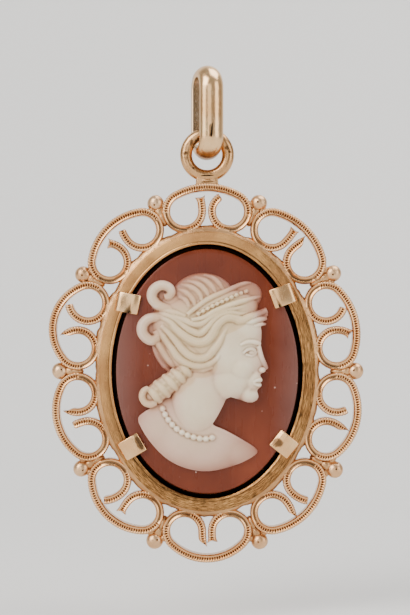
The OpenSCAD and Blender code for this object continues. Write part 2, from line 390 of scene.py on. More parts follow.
# Level of the painted shade mark at which a finish shows its plain tone
FLAT = 0.5
# Tints of gold: the wires' pale tone, near-black painted shade in the deepest creases and recesses, and a
# painted reflection tint, paler and cooler, for the inside of the bail
PALE, PAINTED_RECESS_SHADE, PAINTED_REFLECTION_TINT = (0.8, 0.48, 0.24), (0.03, 0.02, 0.015), (0.66, 0.86, 1.3)


def gold(name, warm, pale, rough, grain, scratches, pits=0.0, crease_shade=0.35, rubbed=0.0):
    """Worn gold: two tones in soft patches, fine grain, short scratches, and painted shade in its creases.

    What is rubbed is darker and more scratched towards its lower right."""
    made = Finish(name)
    place = made.place()
    patches = made.noise(place, 420.0, 3.0, 0.6)
    fine = made.noise(place, 9000.0, 4.0, 0.7)
    lines = made.noise(made.stretched(place, 0.3, 38), 11000.0)
    cross_lines = made.noise(made.stretched(place, 0.35, -52), 8000.0)
    tone = made.ramp(patches, [(0.36, warm), (0.66, pale)])
    crease_shade_tint = (crease_shade, crease_shade * 0.9, crease_shade * 0.84)
    # Painted shade: creases painted darker, the deepest recesses near black; a painted reflection tint where
    # the mark is 0.9
    shade = made.ramp(made.mark("hollow"), [
        (0.02, PAINTED_RECESS_SHADE), (0.36, crease_shade_tint), (FLAT, WHITE), (0.8, WHITE), (0.9, PAINTED_REFLECTION_TINT)])
    colour = made.mixed(1.0, tone, shade)
    if rubbed:
        lower_right = made.node("VectorMath", "Value", {0: place, 1: (70.0, 0.0, -70.0)},
                                operation="DOT_PRODUCT")
        wavering = made.maths("MULTIPLY_ADD", patches, 0.9, lower_right)
        amount = made.mapped(wavering, 1.15, 2.1, 0.0, 1.0)
        # Brush strokes that run round the oval: narrow across it, long along it
        side = made.maths("DIVIDE", made.axis(place, "X"), STONE_W / 2 * MM)
        up = made.maths("SUBTRACT", made.axis(place, "Z"), STONE_Z * MM)
        up = made.maths("DIVIDE", up, STONE_H / 2 * MM)
        out = made.node("VectorMath", "Value", {0: made.node("CombineXYZ", 0, {"X": side, "Y": up})},
                        operation="LENGTH")
        out = made.maths("MULTIPLY", out, 130.0)
        turn = made.maths("MULTIPLY", made.maths("ARCTAN2", up, side), 14.0)
        strokes = made.noise(made.node("CombineXYZ", 0, {"X": out, "Y": turn}), 1.0, 5.0, 0.65)
        smears = made.ramp(strokes, [
            (0.36, (0.11, 0.1, 0.085)), (0.5, (0.5, 0.47, 0.43)), (0.64, (1, 0.95, 0.88))])
        colour = made.mixed(amount, colour, smears)
        scratches = made.mapped(amount, 0.0, 1.0, scratches, rubbed)
    normal = made.bump(made.maths("ADD", lines, cross_lines), scratches, 0.000006)
    normal = made.bump(fine, grain, 0.00001, Normal=normal)
    if pits:
        holes = made.ramp(made.cells(place, 5200.0), [(0.12, BLACK), (0.32, WHITE)])
        normal = made.bump(holes, pits, 0.00002, Normal=normal)
    made.shader(Base_Color=colour, Metallic=1.0, Normal=normal,
                Roughness=made.mapped(lines, 0.35, 0.7, rough - 0.03, rough + 0.06))
    return made.look


# Warm and pale tone, roughness, grain and scratches, then pits and the depth of painted crease shade
polished_gold = gold("polished_gold", (0.8, 0.46, 0.205), (0.92, 0.61, 0.32), 0.22, 0.15, 0.25)
worn_gold = gold("worn_gold", (0.54, 0.29, 0.12), (0.71, 0.41, 0.19), 0.25, 0.35, 0.35)
rim_gold = gold("rim_gold", (0.5, 0.245, 0.09), (0.77, 0.415, 0.155), 0.3, 0.55, 0.3, rubbed=0.8)
wire_gold = gold("wire_gold", (0.68, 0.36, 0.155), PALE, 0.22, 0.2, 0.3, 0.1, 0.3)
matt_gold = gold("matt_gold", (0.68, 0.39, 0.19), (0.8, 0.52, 0.3), 0.33, 0.5, 0.3, 0.3)
solder_gold = gold("solder_gold", (0.5, 0.27, 0.12), (0.67, 0.39, 0.18), 0.36, 0.9, 0.9, 0.8, 0.25)


def shell_ground():
    """Brown layer of the shell: clouded and veined, with a painted sheen, paler and greyer, towards both
    sides, and a few pale specks.
    """
    made = Finish("shell_ground")
    place = made.place()
    clouds = made.noise(place, 170.0, 4.0, 0.55)
    veins = made.noise(made.stretched(place, 0.16), 900.0, 5.0, 0.6)
    base = made.ramp(clouds, [
        (0.3, (0.115, 0.019, 0.006)), (0.55, (0.165, 0.03, 0.009)), (0.75, (0.22, 0.044, 0.015))])
    streak = made.ramp(veins, [(0.35, (0.85, 0.8, 0.78)), (0.7, (1.1, 1.13, 1.15))])
    # Painted sheen: paler and greyer towards the left and right edges
    side = made.maths("MULTIPLY_ADD", clouds, 0.0015, made.maths("ABSOLUTE", made.axis(place, "X")))
    painted_side_sheen = made.mapped(side, 0.0054, 0.0074, 0.0, 0.55)
    toned = made.mixed(painted_side_sheen, made.mixed(0.45, base, streak), (0.2, 0.115, 0.1, 1), "MIX")
    dots = made.ramp(made.cells(place, 1500.0), [(0.07, WHITE), (0.1, BLACK)])
    kept = made.ramp(made.noise(place, 700.0), [(0.54, BLACK), (0.58, (0.7, 0.7, 0.7))])
    colour = made.mixed(made.maths("MULTIPLY", dots, kept), toned, (0.72, 0.5, 0.42, 1), "MIX")
    made.shader(Base_Color=colour, Roughness=made.mapped(veins, 0.3, 0.7, 0.22, 0.34),
                Normal=made.bump(veins, 0.25, 0.00001), Specular_IOR_Level=0.22, Coat_Weight=0.1,
                Coat_Roughness=0.14, Subsurface_Weight=0.12, Subsurface_Scale=0.0006,
                Subsurface_Radius=(1.0, 0.35, 0.2))
    return made.look


def shell_figure():
    """Ivory layer of the shell: white where it is thick, rosy where the brown shines through."""
    made = Finish("shell_figure")
    place = made.place()
    clouds = made.noise(place, 600.0, 4.0, 0.6)
    fine = made.noise(place, 7000.0, 3.0, 0.6)
    body = made.ramp(made.mark("thickness"), [
        (0.0, (0.2, 0.05, 0.025)), (0.12, (0.32, 0.12, 0.08)), (0.24, (0.5, 0.27, 0.21)),
        (0.42, (0.71, 0.5, 0.41)), (0.62, (0.8, 0.68, 0.54)), (0.85, (0.86, 0.76, 0.6))])
    cream = made.ramp(clouds, [(0.35, (0.93, 0.88, 0.78)), (0.65, (1.04, 1.03, 1.02))])
    # Painted shade in the grooves, and ridges painted lighter
    groove = made.ramp(made.mark("hollow"), [
        (0.34, (0.38, 0.26, 0.12)), (0.49, (0.93, 0.89, 0.78)), (0.65, (1.1, 1.1, 1.1))])
    colour = made.mixed(0.85, made.mixed(0.55, body, cream), groove)
    colour = made.mixed(made.mark("hair"), colour, (0.9, 0.82, 0.68, 1))
    made.shader(Base_Color=colour, Roughness=made.mapped(fine, 0.3, 0.7, 0.36, 0.5),
                Normal=made.bump(fine, 0.3, 0.000006), Subsurface_Weight=0.2, Subsurface_Scale=0.0004,
                Subsurface_Radius=(1.0, 0.6, 0.4))
    return made.look


def mark_painted_shade(piece, blur=2, shade=None):
    """Mark creases with painted shade and ridges lighter, for the finish to read; shade sets the mark by
    place.

    Gold shows near-black painted shade at 0, painted crease shade at 0.36, its plain tone from FLAT up, and
    a painted reflection tint at 0.9."""
    take(piece)
    mark = piece.data.color_attributes.new("hollow", "FLOAT_COLOR", "CORNER")
    piece.data.color_attributes.active_color = mark
    mark.data.foreach_set("color", [1.0] * 4 * len(mark.data))
    bpy.ops.paint.vertex_color_dirt(blur_iterations=blur, clean_angle=radians(110), dirt_angle=radians(70),
                                    normalize=False)
    if shade:
        marks = piece.data.color_attributes["hollow"].data
        for corner, point in zip(piece.data.loops, marks):
            value = shade(piece.data.vertices[corner.vertex_index].co)
            if value is not None:
                point.color = (value, value, value, 1)


def spot_tone(near, dark, sharp):
    """Mark of a dark spot: full in its middle, and gone where near is 1."""
    return FLAT - (FLAT - dark) * min(1.0, sharp * (1 - near))


def handed_in(piece, look, body, slot, *nodes):
    """Give a piece its finish and its place among the bodies."""
    piece.data.materials.append(look)
    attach(piece, body)
    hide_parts(*nodes)


def for_frame(piece, look, blur=2, shade=None):
    """Mark a piece of the gold frame with painted shade, stand it up, and give it its finish and its place
    on the pendant.
    """
    mark_painted_shade(piece, blur, shade)
    handed_in(face_up(piece), look, "pendant", "gold", "frame")


# Wire of the scallops: a strip with two smooth rails and a beaded groove between them

# Length of one bead, and the wire's section from its side to the middle of its groove
CELL = 0.18
HALF_SECTION = [
    (0.24, -0.55), (0.29, -0.5), (0.29, 0.37), (0.265, 0.48), (0.205, 0.545), (0.135, 0.525), (0.07, 0.45)]
SECTION = [(-y, z) for y, z in HALF_SECTION] + [(0.0, 0.425)] + HALF_SECTION[::-1]
# How long the worked tip of each kind of wire end is
TIP_LENGTHS = {"forked": 0.3, "pointed": 0.75, "blunt": 0.2}


def wire_cell(milled):
    """One bead's length of the strip, lying along X."""
    edit(outlined([(0, y, z) for y, z in SECTION]))
    steps = 4 if milled else 1
    for _ in range(steps):
        pull((CELL / steps, 0, 0))
    if milled:
        for at, lift, spread in ((CELL / 4, 0.02, 0.01), (CELL * 3 / 4, -0.03, -0.015)):
            # The outer rail's top, its side, and the groove: across from and to, from what height, move
            for low, high, level, move in ((0.1, 1, 0.44, (0, 0, lift)), (0.25, 1, 0.3, (0, spread, 0)),
                                           (-0.08, 0.08, 0.3, (0, 0, lift * 2.2))):
                pick(lambda v: abs(v.co.x - at) < 0.001 and low < v.co.y < high and v.co.z > level)
                bpy.ops.transform.translate(value=move)
    return done()


def tip_shape(vertex, tip, run):
    """Work the wire's last bit: forked like a swallow's tail, cut slanting to a point, or blunt."""
    away = run - vertex.co.x if vertex.co.x > run / 2 else vertex.co.x
    side = 1 if vertex.co.x > run / 2 else -1
    near = max(0.0, 1 - away / TIP_LENGTHS[tip])
    y = vertex.co.y / (WIRE_W / 2)
    if tip == "forked":
        vertex.co.x += side * near * (0.16 * abs(y) ** 1.5 - 0.1)
        vertex.co.y *= 1 + 0.3 * near * near
        vertex.co.z -= 0.06 * near * (1 - abs(y)) if vertex.co.z > 0 else 0
    elif tip == "pointed":
        vertex.co.x += side * near * near * 0.12 * (y - 0.4)
        vertex.co.y = vertex.co.y * (1 - 0.76 * near * near) + 0.2 * near * near
        vertex.co.z *= 1 - 0.3 * near * near
    else:
        vertex.co.y *= 1 - 0.18 * near * near
        vertex.co.z *= 1 - 0.12 * near * near


def half_path(half, bulge, lean, reach):
    """From the top of the arch round the loop to the wire's end, with the lengths of its parts."""
    drop = (half * half - bulge * bulge) / (2 * bulge)
    arch_r = LOOP_R + bulge + drop
    spread = atan2(half, drop)
    points = [(arch_r * sin(spread * i / 8), arch_r * cos(spread * i / 8) - drop) for i in range(8)]
    sweep = 1.5 * pi - spread
    for i in range(37):
        a = pi / 2 - spread - sweep * i / 36
        points.append((half + LOOP_R * cos(a), LOOP_R * sin(a)))
    lean = radians(lean)
    bend = reach / sin(lean)
    for i in range(1, 9):
        a = pi - lean * i / 8
        points.append((half - LOOP_R + bend * (1 + cos(a)), bend * sin(a)))
    return points, arch_r * spread, LOOP_R * sweep, abs(bend * lean)


# Ends of each scallop's wire, clockwise from the top: shape, lean in degrees, reach of the end
WIRE_ENDS = [
    (("forked", 16, 1.02), ("blunt", 60, 1.06)), (("forked", 14, 1.17), ("pointed", 21, 1.29)),
    (("blunt", 62, 1.17), ("forked", 48, 1.19)), (("blunt", 42, 0.98), ("pointed", 44, 1.28)),
    (("blunt", 36, 1.24), ("pointed", 40, 1.36)), (("forked", 5, 0.76), ("pointed", -9, 1.13)),
    (("forked", 23, 1.06), ("blunt", 44, 1.34)), (("blunt", 13, 0.8), ("pointed", 51, 1.07)),
    (("pointed", 66, 1.22), ("blunt", 68, 1.34)), (("forked", 41, 1.04), ("blunt", 27, 1.02))]
# Bent by hand, each arch reaches this much further out, and each granule sits this much further out
ARCH_EXTRA = [0.0, 0.0, 0.02, 0.12, 0.05, 0.25, 0.19, 0.16, 0.42, 0.09]
BALL_EXTRA = [0.06, 0.12, 0.04, 0.28, 0.22, 0.18, 0.1, -0.05, -0.05, 0.04]


def scallop(k, milled, plain):
    """Lay one scallop's straight strip, work its ends, and bend it along its path."""
    left, right = loop_centre(2 * k - 1), loop_centre(2 * k)
    across, middle = right - left, (left + right) / 2
    halves = []
    for side, (_, lean, reach) in zip((-1, 1), WIRE_ENDS[k]):
        points, arch, loop, end = half_path(across.length / 2, ARCH_BULGE + ARCH_EXTRA[k], lean, reach)
        halves.append(([(side * x, y) for x, y in points], arch, loop, end))
    (west, arch, west_loop, west_end), (east, _, east_loop, east_end) = halves
    path = west[:0:-1] + east
    run = sum(hypot(b[0] - a[0], b[1] - a[1]) for a, b in zip(path, path[1:]))
    lengths = [west_end + 0.3 * west_loop, 0.42 * west_loop, 0.28 * (west_loop + east_loop) + 2 * arch,
               0.42 * east_loop, east_end + 0.3 * east_loop]
    parts, at = [], 0.0
    for cell, length in zip((milled, plain, milled, plain, milled), lengths):
        count = round(length / CELL)
        part = settle(copied(cell), (at, 0, 0))
        parts.append(worked(part, "ARRAY", count=count, use_relative_offset=False, use_constant_offset=True,
                            constant_offset_displace=(CELL, 0, 0), use_merge_vertices=True,
                            merge_threshold=0.001))
        at += CELL * count
    strip = welded(settle(joined("strip", parts), size=(run / at, 1, 1)), 0.001)
    for end in (0, run):
        edit(strip, lambda v: abs(v.co.x - end) < 0.001)
        bpy.ops.mesh.edge_face_add()
        done()
    for vertex in strip.data.vertices:
        tip_shape(vertex, WIRE_ENDS[k][vertex.co.x >= run / 2][0], run)
    bpy.ops.curve.primitive_nurbs_path_add()
    line = bpy.context.object
    line.data.splines.clear()
    thread = line.data.splines.new("POLY")
    thread.points.add(len(path) - 1)
    for knot, (x, y) in zip(thread.points, path):
        knot.co = (x, y, 0, 1)
    line.data.twist_mode = "Z_UP"
    worked(strip, "CURVE", object=line, deform_axis="POS_X")
    bpy.data.objects.remove(line)
    return settle(strip, (middle.x, middle.y, 0), (0, 0, atan2(across.y, across.x)))


def painted_side_reflection(co):
    """Painted dark reflection: the wires are painted darker along their sides, just under the rails."""
    return 0.36 if 0.2 < co.z < 0.375 else None


def scallop_wires():
    milled, plain = wire_cell(True), wire_cell(False)
    wires = [scallop(k, milled, plain) for k in range(SCALLOPS)]
    for cell in (milled, plain):
        bpy.data.objects.remove(cell)
    edit(joined("scallop_wires", wires))
    piece = smoothed(done(normals=True), 60)
    for_frame(piece, wire_gold, 1, painted_side_reflection)


# Rim, claws, granules, solder and hanging ring

# The fine line along the rim's inside: distance from the stone's edge, half its width, and its depth
LINE_OUT, LINE_HALF, LINE_DEPTH = STONE_GAP + 0.24, 0.07, 0.028


def rim():
    inner = STONE_GAP - LEDGE_W
    ring = hoop([(RIM_OUTER, RIM_BACK), (RIM_OUTER, -0.2), (RIM_OUTER, RIM_FRONT),
                 (RIM_OUTER - 0.3, RIM_FRONT), (LINE_OUT + LINE_HALF, RIM_FRONT),
                 (LINE_OUT, RIM_FRONT - LINE_DEPTH), (LINE_OUT - LINE_HALF, RIM_FRONT),
                 (STONE_GAP, RIM_FRONT - 0.07), (STONE_GAP, LEDGE_FRONT), (inner, LEDGE_FRONT),
                 (inner, RIM_BACK), (0.2, RIM_BACK), (RIM_OUTER, RIM_BACK)])
    bevelled(ring, 0.075)
    front = RIM_FRONT - 0.1
    hand = Random(4)
    for vertex in ring.data.vertices:
        if vertex.co.z > front:
            vertex.co.z += 0.02 * ripple(vertex.co.x, vertex.co.y, 0.9, 3.1) + hand.uniform(-0.0015, 0.0015)
    smoothed(named(ring, "rim"))

    def painted_rim_shade(co):
        # Painted shade: the inner wall and ledge near black, and the fine line along the rim darker
        if oval_share(co, STONE_GAP + 0.03) < 1 and RIM_BACK + 0.1 < co.z < front:
            return 0.0
        if co.z > front and abs(oval_share(co, LINE_OUT) - 1) < 0.0045:
            return 0.34 + 0.12 * noise.noise(co * 0.7)
        return None

    for_frame(ring, rim_gold, shade=painted_rim_shade)


# Claws, anticlockwise from the upper right: angle round the oval, twist in degrees, and slide outwards
CLAW_PLACES = [(37, -9, 0.03), (147, 14, 0.0), (217, 1, -0.02), (324.5, -11, 0.02)]
# Nicks in the two upper claws: place and turn, then half sizes and height
NICKS = [((5.25, 4.72), 20), ((-5.68, 4.28), -35)]
NICK_SIZE, NICK_Z = (0.038, 0.19, 0.18), 1.42
# Painted dark reflections on the two lower claws, and painted shade inside the nicks: place, half sizes,
# turn and depth of tone
PAINTED_DARK_SPOTS = [((-4.87, -5.17), (0.27, 0.56), 30, 0.26), ((5.08, -5.12), (0.44, 0.34), -20, 0.2)]
PAINTED_DARK_SPOTS += [(place, (0.08, 0.2), turn, 0.1) for place, turn in NICKS]


def claws():
    """Bent strips that hold the stone: one is worked, set four times, and the upper two are nicked."""
    t = radians(35)
    edge = oval_point(t, STONE_GAP)
    tip = edge - CLAW_OVER * oval_normal(t)
    tip_low = dome(*tip) + CLAW_GAP
    edge_low = dome(*edge) + CLAW_GAP
    tip_top = tip_low + CLAW_T
    bend_top = edge_low + (edge_low - tip_low) * CLAW_FOOT / CLAW_OVER + CLAW_T
    foot, root = -CLAW_FOOT - 0.34, RIM_FRONT - 0.3
    profile = [(foot, root), (foot, bend_top - 0.4), (foot + 0.04, bend_top - 0.25),
               (foot + 0.13, bend_top - 0.13), (foot + 0.28, bend_top - 0.04), (foot + 0.48, bend_top),
               (0.3, tip_top - 0.02), (0.62, tip_top - 0.05), (CLAW_OVER, tip_top - 0.17),
               (CLAW_OVER, tip_low), (0.0, edge_low), (0.0, root)]
    strip = slab([(x, -CLAW_W / 2, z) for x, z in profile], (0, CLAW_W, 0))
    bevelled(strip, 0.06, 35)
    settle(strip, size=(1.04, 1.1, 1))
    made = []
    for angle, twist, slide in CLAW_PLACES:
        t = radians(angle)
        edge, normal = oval_point(t, STONE_GAP + slide), oval_normal(t)
        made.append(settle(copied(strip), (edge.x, edge.y, 0),
                           (0, 0, atan2(-normal.y, -normal.x) + radians(twist))))
    bpy.data.objects.remove(strip)
    for strip, (spot, turn) in zip(made, NICKS):
        cut(strip, settle(swell(0, 0, *NICK_SIZE), (*spot, NICK_Z), (0, 0, radians(turn))))
        welded(strip, 0.004)
    for strip in made[2:]:
        edit(strip, lambda f: f.normal.z > 0.75 and f.calc_area() > 0.1, "FACE")
        bpy.ops.mesh.subdivide(number_cuts=7)
        done()
    piece = joined("claws", made)
    for vertex in piece.data.vertices:
        vertex.co.z += 0.004 * noise.noise(vertex.co * 1.3) if vertex.co.z > 1.2 else 0
    smoothed(piece)

    def painted_light_marks(co):
        # Painted dark reflections on the lower claws, and painted shade inside the nicks
        for middle, half, turn, dark in PAINTED_DARK_SPOTS:
            u, v = tilted(co.x, co.y, middle, half, turn)
            near = u * u + v * v + 0.5 * ripple(co.x, co.y, 6, 1)
            if near < 1 and co.z > 1.0:
                return spot_tone(near, dark, 2)
        return None

    for_frame(piece, polished_gold, 1, painted_light_marks)


def granules():
    """Balls soldered between the scallops, each with the small pit it cooled with."""
    bpy.ops.mesh.primitive_ico_sphere_add(subdivisions=4, radius=BALL_R)
    ball = bpy.context.object
    pit_at = Vector((0.06, 0.1, BALL_R))
    pit = min(ball.data.vertices, key=lambda v: (v.co - pit_at).length).co.copy()
    edit(ball, lambda f: (f.calc_center_median() - pit).length < 0.075, "FACE")
    bpy.ops.mesh.inset(thickness=0.025)
    bpy.ops.transform.translate(value=(0, 0, -0.1))
    bpy.ops.transform.resize(value=(0.6, 0.6, 1), center_override=pit)
    ball = done(normals=True)
    hand = Random(12)
    made = []
    for k in range(SCALLOPS):
        place = granule_place(k)[-1]
        piece = settle(copied(ball), size=(1, hand.uniform(0.95, 1.0), hand.uniform(0.92, 0.98)))
        made.append(settle(piece, (place.x, place.y, 0),
                           (hand.uniform(-0.2, 0.1), hand.uniform(-0.25, 0.25), hand.uniform(0, 2 * pi))))
    bpy.data.objects.remove(ball)
    for_frame(smoothed(joined("granules", made), 60), matt_gold, 1)


# Section of the solder along the rim: distance out from the rim, and height
WEB_ROWS = [
    (-0.06, -0.42), (0.38, -0.4), (0.46, -0.2), (0.48, 0.15), (0.43, 0.36), (0.3, 0.5), (0.12, 0.58),
    (-0.06, 0.66), (-0.06, -0.42)]


def web():
    """Solder that ran along the rim: wide inside a scallop, narrow between two at the top."""
    ring = hoop([(RIM_OUTER + out, z) for out, z in WEB_ROWS], 360)
    angles = [(loop_angle(j), j) for j in range(LOOPS)]
    for vertex in ring.data.vertices:
        x, y = vertex.co.x, vertex.co.y
        t = atan2(y / STONE_H, x / STONE_W) % (2 * pi)
        inner = oval_point(t, RIM_OUTER)
        if hypot(x, y) - inner.length < 0.02:
            continue
        turns = [((a - t + pi) % (2 * pi) - pi, j) for a, j in angles]
        turn, j = min(turns, key=lambda pair: abs(pair[0]))
        inside = (turn > 0) == (j % 2 == 1)
        gap = min(1.0, abs(turn) / 0.16)
        slim = (0.12 if inside else 0.5) + 0.2 * ripple(x, y, 0.5, 2)
        narrow = 1 - slim * gap + 0.2 * ripple(x, y, 2.2, 5)
        vertex.co.x = inner.x + (x - inner.x) * narrow
        vertex.co.y = inner.y + (y - inner.y) * narrow
    return ring


def solder():
    """Solder that ran between the loops, the rim and the granules."""
    bpy.ops.mesh.primitive_ico_sphere_add(subdivisions=3, radius=1)
    edit(bpy.context.object)
    bpy.ops.transform.vertex_random(offset=0.1, uniform=0.3, normal=1, seed=7)
    bpy.ops.mesh.vertices_smooth(factor=0.5, repeat=2)
    blob = done()
    hand = Random(31)
    spots = []
    for j in range(LOOPS):
        t = loop_angle(j) + hand.uniform(-0.012, 0.012)
        spots.append((oval_point(t, RIM_OUTER + 0.02), t, (0.36, hand.uniform(0.7, 0.95), 0.56)))
    for k in range(SCALLOPS):
        left, right, out, ball = granule_place(k)
        t = atan2(out.y, out.x)
        spots.append(((left + right) / 2 + 0.15 * out, t, (0.64, 0.32, 0.5)))
        for loop in (left, right):
            touch = loop + (ball - loop).normalized() * (LOOP_OUTER - 0.02)
            spots.append((touch, t, (0.32, 0.32, hand.uniform(0.32, 0.42))))
        spots.append((ball - 0.74 * out, t, (0.5, 0.46, 0.48)))
    made = [web()]
    for place, t, size in spots:
        piece = settle(copied(blob), turn=(hand.uniform(0, 6), hand.uniform(0, 6), 0))
        made.append(settle(piece, (place.x, place.y, 0), (0, 0, t), size))
    bpy.data.objects.remove(blob)
    for_frame(smoothed(joined("solder", made), 60), solder_gold, 1)


# Dark spots where the bail rubs the ring: place from the ring's middle, half sizes and depth of tone
RUBBED_SPOTS = [
    (-1.58, 0.1, 0.16, 0.14, 0.15), (-1.5, -0.25, 0.12, 0.2, 0.4), (1.66, 0.18, 0.13, 0.1, 0.12),
    (1.42, 0.5, 0.2, 0.16, 0.3), (-1.12, 0.85, 0.16, 0.34, 0.3), (-1.0, -1.0, 0.1, 0.08, 0.25)]
# The slits of the joint under the ring: side step, half sizes and slant in degrees
CLEFT_X, CLEFT_SIZE, CLEFT_TILT = 0.02, (0.48, 0.05, 0.14), 2


def hanging_ring():
    """The ring with its neck, the seam of solder between them, and the slits of the joint."""
    bpy.ops.mesh.primitive_torus_add(major_radius=RING_LINE_R, minor_radius=RING_WIRE_R, major_segments=120,
                                     minor_segments=32)
    ring = bpy.context.object
    for vertex in ring.data.vertices:
        x, y, z = vertex.co
        worn = exp(-((abs(x) - 1.62) ** 2 + (y - 0.35) ** 2) / 0.16)
        vertex.co.z -= 0.05 * worn * (1 if z > 0.2 else 0)
        vertex.co.z += 0.012 * noise.noise(vertex.co * 2.0)
    settle(ring, (0, RING_UP, 0))
    ring_low = RING_UP - RING_LINE_R
    low, high = ARCH_TOP - WIRE_W * 0.75, ring_low + 0.05
    bpy.ops.mesh.primitive_cube_add(size=1)
    neck = settle(bpy.context.object, (0, (low + high) / 2, 0), size=(NECK_W, high - low, NECK_DEPTH))
    edit(neck, lambda f: f.normal.y > 0.9, "FACE")
    bpy.ops.transform.resize(value=(0.93, 1, 1), center_override=(0, high, 0))
    bevelled(done(), 0.16, segments=4)
    bpy.ops.mesh.primitive_uv_sphere_add(segments=24, ring_count=12, radius=1)
    seam = settle(bpy.context.object, (0.0, ring_low - 0.36, 0.0), size=(0.75, 0.2, 0.4))
    slits = ((ring, ring_low, RING_WIRE_R), (seam, ARCH_TOP + 0.1, 0.25),
             (neck, ARCH_TOP + 0.1, NECK_DEPTH / 2))
    for part, level, height in slits:
        cut(part, swell(CLEFT_X, level, *CLEFT_SIZE, CLEFT_TILT, height))
    piece = smoothed(joined("hanging_ring", [ring, neck, seam]), 45)

    def rubbed(co):
        # Painted shade inside the slits of the joint; the spots after them are wear where the bail rubs the
        # ring
        for _, level, height in slits:
            off = co.y - level - 0.035 * co.x
            near = hypot((co.x - CLEFT_X) / (CLEFT_SIZE[0] + 0.01), off / (CLEFT_SIZE[1] + 0.01))
            if near < 1 and 0.1 < co.z < height - 0.02:
                return 0.1
        for x, y, wide, high, dark in RUBBED_SPOTS:
            near = hypot((co.x - x) / wide, (co.y - RING_UP - y) / high) + 0.4 * ripple(co.x, co.y, 5, 2)
            if near < 1 and co.z > 0.1:
                return spot_tone(near, dark, 2.5)
        return None

    for_frame(piece, worn_gold, shade=rubbed)


# Bail: a half-round band bent into a long link

# The slit in the front of the bail: half its width, and where its middle lies
SLIT_HALF, SLIT_X, SLIT_Z = 0.07, -0.16, -3.05


def bail():
    belly = BAIL_T - BAIL_EDGE_T
    face_r = (BAIL_W * BAIL_W / 4 + belly * belly) / (2 * belly)
    half = acos(1 - belly / face_r)
    crown = BAIL_INNER_R + BAIL_T
    section = [(BAIL_INNER_R, 0, 0.3), (BAIL_INNER_R, 0, -0.3), (BAIL_INNER_R, 0, -BAIL_W / 2 + 0.05),
               (BAIL_INNER_R + 0.05, 0, -BAIL_W / 2)]
    for i in range(17):
        a = half * (-1 + i / 8)
        section.append((crown - face_r * (1 - cos(a)), 0, face_r * sin(a)))
    section += [(BAIL_INNER_R + 0.05, 0, BAIL_W / 2), (BAIL_INNER_R, 0, BAIL_W / 2 - 0.05)]
    straight = BAIL_H - 2 * BAIL_T - 2 * BAIL_INNER_R
    bend_rows, straight_rows = 40, 12
    edit(outlined(section))
    for level, way in ((0, -straight), (-straight, straight)):
        bpy.ops.mesh.spin(steps=bend_rows, angle=-pi, center=(0, level, 0), axis=(0, 0, 1))
        for _ in range(straight_rows):
            pull((0, way / straight_rows, 0))
    link = named(welded(done(), 0.002), "bail_link")
    settle(link, turn=(pi / 2, 0, 0))
    settle(link, turn=(0, 0, pi / 2))
    cut(link, settle(swell(0, 0, SLIT_HALF, 0.15, 0.55), (SLIT_X, -crown, SLIT_Z), (0, radians(3), 0)))
    smoothed(link)
    foot = crown - BAIL_H + 0.75

    def painted_light_marks(co):
        # Painted shade inside the slit and towards the foot, and a painted reflection tint, paler and
        # cooler, on the inside of the band
        if abs(co.x - SLIT_X) < 0.12 and abs(co.z - SLIT_Z) < 0.5 and -1.77 < co.y < -1.5:
            return 0.1
        if co.z < foot:
            return FLAT - 0.13 * min(1.0, (foot - co.z) / 0.5)
        return 0.9 if hypot(co.y, max(0.0, co.z)) < BAIL_INNER_R + 0.02 else None

    mark_painted_shade(link, shade=painted_light_marks)
    settle(link, (0, 0, -BAIL_INNER_R * MM), (0, 0, radians(BAIL_TURN)), (MM, MM, MM))
    handed_in(link, polished_gold, "bail", "gold", "bail")


# Stone

def ground():
    """Domed oval of the shell, ring inside ring so that the dome stays smooth."""
    rings = 24
    bpy.ops.mesh.primitive_circle_add(vertices=144, radius=1, fill_type="NGON")
    edit(bpy.context.object)
    for _ in range(rings):
        bpy.ops.mesh.inset(thickness=0.96 / rings)
    bpy.ops.mesh.poke()
    piece = named(done(), "shell_oval")
    for vertex in piece.data.vertices:
        x, y = vertex.co.x * STONE_W / 2, vertex.co.y * STONE_H / 2
        vertex.co = (x, y, dome(x, y))
    edit(piece, lambda e: e.is_boundary, "EDGE")
    pull((0, 0, -0.4))
    done()
    for vertex in piece.data.vertices:
        if vertex.co.z < dome(vertex.co.x, vertex.co.y) - 0.2:
            vertex.co.z = GROUND_BACK
    edit(piece, lambda e: e.is_boundary, "EDGE")
    bpy.ops.mesh.edge_face_add()
    bevelled(done(normals=True), 0.09)
    handed_in(face_up(smoothed(piece)), shell_ground(), "pendant", "shell_ground", "cameo_ground")


# Carved figure: places in millimetres from the middle of the shell, heights above its ground

# Rounded masses: middle, half width, half height, rise and tilt
HEAD_MASSES = [
    (0.6, 2.9, 3.2, 3.3, 0.86, 0), (2.0, 1.5, 2.3, 3.3, 0.92, 0), (2.45, 0.3, 1.15, 1.15, 1.02, 0),
    (1.8, -0.7, 1.9, 1.45, 0.9, 15), (3.1, -1.55, 0.85, 0.8, 0.8, 0), (2.7, 3.0, 1.45, 1.5, 0.9, 0),
    (3.2, -0.55, 1.0, 0.95, 0.82, 0), (-0.6, -2.2, 2.1, 3.0, 0.84, -12)]
